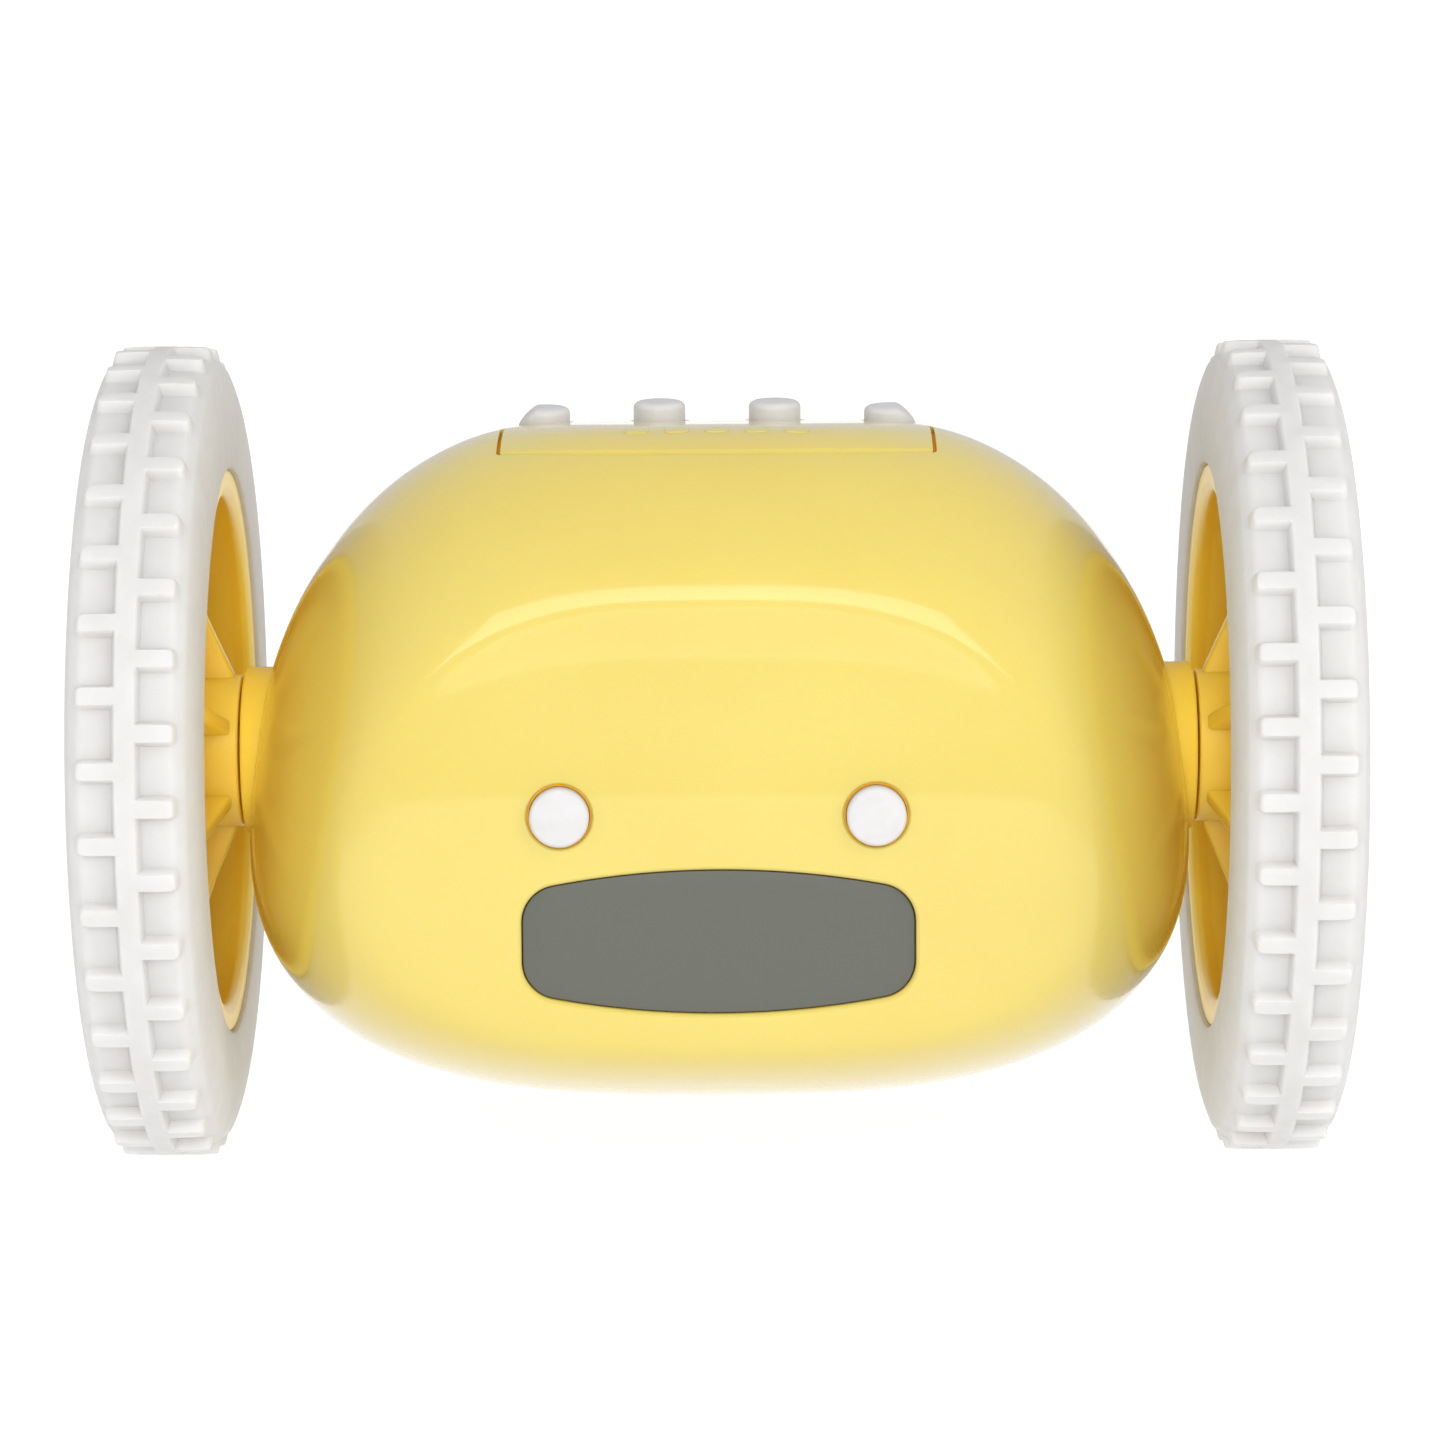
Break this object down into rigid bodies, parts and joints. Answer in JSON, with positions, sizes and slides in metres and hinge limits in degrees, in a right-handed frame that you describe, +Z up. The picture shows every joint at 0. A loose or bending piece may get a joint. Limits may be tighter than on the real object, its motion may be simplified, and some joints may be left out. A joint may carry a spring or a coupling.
{
  "type": "two-wheeled alarm clock",
  "caption": "Egg-shaped yellow alarm clock that drives off on two big white tyres, with a display, push buttons and a snooze bar.",
  "frame": {"origin": "on the wheel axis, midway between the two tyres", "axes": "+X along the wheel axis towards the right wheel, the face looks along -Y, +Z up"},
  "size_m": [0.1342, 0.0888, 0.0888],
  "materials": {
    "body_plastic": "glossy",
    "button_plastic": "satin",
    "tyre_silicone": "satin",
    "gear_plastic": "satin",
    "frame_plastic": "matte",
    "brass": "polished",
    "circuit_board": "satin",
    "black_plastic": "matte",
    "lens": "glossy",
    "display": "glossy",
    "diffuser": "matte",
    "cell_jacket": "glossy",
    "magnet": "matte",
    "lead_insulation": "satin",
    "ribbon": "satin",
    "steel": "brushed"
  },
  "bodies": {
    "root": {"front_shell": "body_plastic", "rear_shell": "body_plastic", "battery_door": "body_plastic", "door_screw": "steel", "shell_screws": "steel", "display_lens": "lens", "lcd_glass": "display", "lcd_holder": "black_plastic", "backlight": "diffuser", "main_board": "circuit_board", "board_chips": "black_plastic", "eye_switches": "black_plastic", "board_screws": "steel", "motor_leads": "lead_insulation", "board_ribbon": "ribbon", "top_board": "circuit_board", "top_switches": "black_plastic", "battery_box": "black_plastic", "battery_cells": "cell_jacket", "battery_springs": "steel", "battery_plates": "steel", "speaker_frame": "steel", "speaker_magnet": "magnet", "speaker_cone": "black_plastic", "motor_cradle": "frame_plastic", "motor_left": "steel", "motor_right": "steel", "inner_plate_left": "frame_plastic", "inner_plate_right": "frame_plastic", "outer_plate_left": "frame_plastic", "outer_plate_right": "frame_plastic", "gearbox_screws": "steel", "gear_pin_left": "steel", "gear_pin_right": "steel", "axle_collar_left": "body_plastic", "axle_collar_right": "body_plastic"},
    "wheel_left": {"tyre_left": "tyre_silicone", "wheel_rim_left": "body_plastic", "wheel_axle_left": "steel", "drive_gear_left": "gear_plastic", "wheel_screw_left": "steel", "hub_cap_left": "body_plastic"},
    "idler_left": {"idler_gear_left": "gear_plastic"},
    "pinion_left": {"motor_pinion_left": "brass"},
    "wheel_right": {"tyre_right": "tyre_silicone", "wheel_rim_right": "body_plastic", "wheel_axle_right": "steel", "drive_gear_right": "gear_plastic", "wheel_screw_right": "steel", "hub_cap_right": "body_plastic"},
    "idler_right": {"idler_gear_right": "gear_plastic"},
    "pinion_right": {"motor_pinion_right": "brass"},
    "snooze": {"snooze_bar": "body_plastic"},
    "eye_left": {"eye_button_left": "button_plastic"},
    "eye_right": {"eye_button_right": "button_plastic"},
    "top_key_1": {"top_button_1": "button_plastic"},
    "top_key_2": {"top_button_2": "button_plastic"},
    "top_key_3": {"top_button_3": "button_plastic"},
    "top_key_4": {"top_button_4": "button_plastic"}
  },
  "joints": [
    {"name": "wheel_spin_left", "type": "hinge", "parent": "root", "child": "wheel_left", "pos_m": [-0.06, 0, 0], "axis": [1, 0, 0], "continuous": true},
    {"name": "idler_spin_left", "type": "hinge", "parent": "root", "child": "idler_left", "pos_m": [-0.03, -0.01169, -0.00568], "axis": [1, 0, 0], "continuous": true},
    {"name": "pinion_spin_left", "type": "hinge", "parent": "root", "child": "pinion_left", "pos_m": [-0.03, -0.00921, -0.01844], "axis": [1, 0, 0], "continuous": true},
    {"name": "wheel_spin_right", "type": "hinge", "parent": "root", "child": "wheel_right", "pos_m": [0.06, 0, 0], "axis": [1, 0, 0], "continuous": true},
    {"name": "idler_spin_right", "type": "hinge", "parent": "root", "child": "idler_right", "pos_m": [0.03, -0.01169, -0.00568], "axis": [1, 0, 0], "continuous": true},
    {"name": "pinion_spin_right", "type": "hinge", "parent": "root", "child": "pinion_right", "pos_m": [0.03, -0.00921, -0.01844], "axis": [1, 0, 0], "continuous": true},
    {"name": "snooze_press", "type": "hinge", "parent": "root", "child": "snooze", "pos_m": [0, 0.0012, 0.0308], "axis": [1, 0, 0], "range_deg": [0, 3], "stiffness_Nm_per_rad": 0.05, "springref_deg": -6.88},
    {"name": "eye_press_left", "type": "slide", "parent": "root", "child": "eye_left", "axis": [0, 0.9973, -0.0732], "range_m": [0, 0.001], "stiffness_N_per_m": 250, "springref_m": -0.001},
    {"name": "eye_press_right", "type": "slide", "parent": "root", "child": "eye_right", "axis": [0, 0.9973, -0.0732], "range_m": [0, 0.001], "stiffness_N_per_m": 250, "springref_m": -0.001},
    {"name": "top_press_1", "type": "slide", "parent": "root", "child": "top_key_1", "axis": [0, 0, -1], "range_m": [0, 0.001], "stiffness_N_per_m": 250, "springref_m": -0.001},
    {"name": "top_press_2", "type": "slide", "parent": "root", "child": "top_key_2", "axis": [0, 0, -1], "range_m": [0, 0.001], "stiffness_N_per_m": 250, "springref_m": -0.001},
    {"name": "top_press_3", "type": "slide", "parent": "root", "child": "top_key_3", "axis": [0, 0, -1], "range_m": [0, 0.001], "stiffness_N_per_m": 250, "springref_m": -0.001},
    {"name": "top_press_4", "type": "slide", "parent": "root", "child": "top_key_4", "axis": [0, 0, -1], "range_m": [0, 0.001], "stiffness_N_per_m": 250, "springref_m": -0.001}
  ],
  "couplings": [
    {"joint": "idler_spin_left", "follows": "wheel_spin_left", "ratio": -3.3333},
    {"joint": "pinion_spin_left", "follows": "wheel_spin_left", "ratio": 11.111},
    {"joint": "idler_spin_right", "follows": "wheel_spin_right", "ratio": -3.3333},
    {"joint": "pinion_spin_right", "follows": "wheel_spin_right", "ratio": 11.111}
  ]
}
